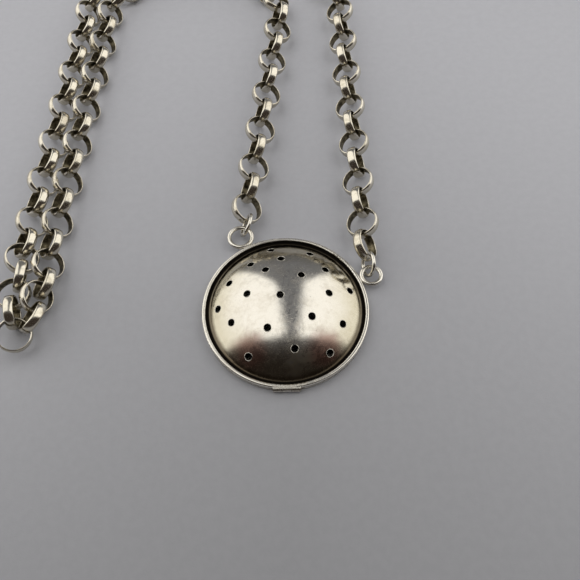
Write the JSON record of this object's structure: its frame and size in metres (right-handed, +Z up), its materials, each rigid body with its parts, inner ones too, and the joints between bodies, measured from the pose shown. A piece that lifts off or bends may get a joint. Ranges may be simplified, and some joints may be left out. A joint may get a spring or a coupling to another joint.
{
  "type": "wearable tea infuser",
  "caption": "Wearable tea infuser: a shallow perforated dome in a bezel band with a hinged perforated back lid, hung by two jump rings on an endless belcher chain of separate links.",
  "frame": {"origin": "centre of the lid's outer face, which lies flat on the ground plane", "axes": "+Z up through the dome; +Y away from the hinge, the way the chain leaves the infuser; -X towards the doubled part of the chain"},
  "size_m": [0.0792, 0.1361, 0.0072],
  "materials": {
    "dome_silver": "polished, tarnished in patches",
    "band_silver": "worn polish",
    "lid_silver": "worn satin",
    "wire_silver": "worn polish",
    "link_silver": "worn polish, dark inside"
  },
  "bodies": {
    "infuser": {"bezel_band": "band_silver", "perforated_dome": "dome_silver", "left_jump_ring": "wire_silver", "right_jump_ring": "wire_silver", "hinge_pin": "band_silver"},
    "lid": {"back_lid": "lid_silver", "lid_collar": "lid_silver"},
    "left_strand": {"left_connector_ring": "wire_silver", "left_strand_lower_links": "link_silver", "left_strand_upper_links": "link_silver", "inner_arch_right_links": "link_silver"},
    "inner_arch": {"inner_arch_top_links": "link_silver", "inner_arch_left_links": "link_silver"},
    "inner_fall": {"inner_fall_upper_links": "link_silver", "inner_fall_lower_links": "link_silver"},
    "fold": {"fold_link": "link_silver", "inner_fold_links": "link_silver", "outer_fold_links": "link_silver"},
    "outer_fall": {"outer_fall_lower_links": "link_silver", "outer_fall_upper_links": "link_silver"},
    "right_strand": {"right_connector_ring": "wire_silver", "right_strand_lower_links": "link_silver", "right_strand_middle_links": "link_silver", "right_strand_upper_links": "link_silver"},
    "outer_arch": {"outer_arch_right_links": "link_silver", "outer_arch_top_links": "link_silver", "outer_arch_left_links": "link_silver"}
  },
  "joints": [
    {"name": "lid_hinge", "type": "hinge", "parent": "infuser", "child": "lid", "pos_m": [0, -0.01682, 0.00075], "axis": [-1, 0, 0], "range_deg": [0, 110]},
    {"name": "left_strand_swing", "type": "hinge", "parent": "infuser", "child": "left_strand", "pos_m": [-0.00934, 0.01757, 0.003], "axis": [0, 0, 1], "range_deg": [-6, 12]},
    {"name": "inner_arch_bend", "type": "hinge", "parent": "left_strand", "child": "inner_arch", "pos_m": [-0.01318, 0.10243, 0.003], "axis": [0, 0, 1], "range_deg": [-12, 6]},
    {"name": "right_strand_swing", "type": "hinge", "parent": "infuser", "child": "right_strand", "pos_m": [0.01802, 0.00746, 0.003], "axis": [0, 0, 1], "range_deg": [-6, 12]},
    {"name": "outer_arch_bend", "type": "hinge", "parent": "right_strand", "child": "outer_arch", "pos_m": [0.01404, 0.09249, 0.003], "axis": [0, 0, 1], "range_deg": [-12, 6]},
    {"name": "inner_fall_swing", "type": "hinge", "parent": "inner_arch", "child": "inner_fall", "pos_m": [-0.04433, 0.08354, 0.003], "axis": [0, 0, 1], "range_deg": [-7, 11]},
    {"name": "fold_bend", "type": "hinge", "parent": "inner_fall", "child": "fold", "pos_m": [-0.04907, 0.01853, 0.003], "axis": [0, 0, 1], "range_deg": [-12, 8]},
    {"name": "outer_fall_swing", "type": "hinge", "parent": "fold", "child": "outer_fall", "pos_m": [-0.05456, 0.01887, 0.003], "axis": [0, 0, 1], "range_deg": [-8, 12]}
  ],
  "couplings": [
    {"joint": "inner_arch_bend", "follows": "left_strand_swing", "ratio": -1},
    {"joint": "right_strand_swing", "follows": "left_strand_swing", "ratio": 1},
    {"joint": "outer_arch_bend", "follows": "left_strand_swing", "ratio": -1},
    {"joint": "fold_bend", "follows": "inner_fall_swing", "ratio": -1},
    {"joint": "outer_fall_swing", "follows": "inner_fall_swing", "ratio": 1}
  ]
}
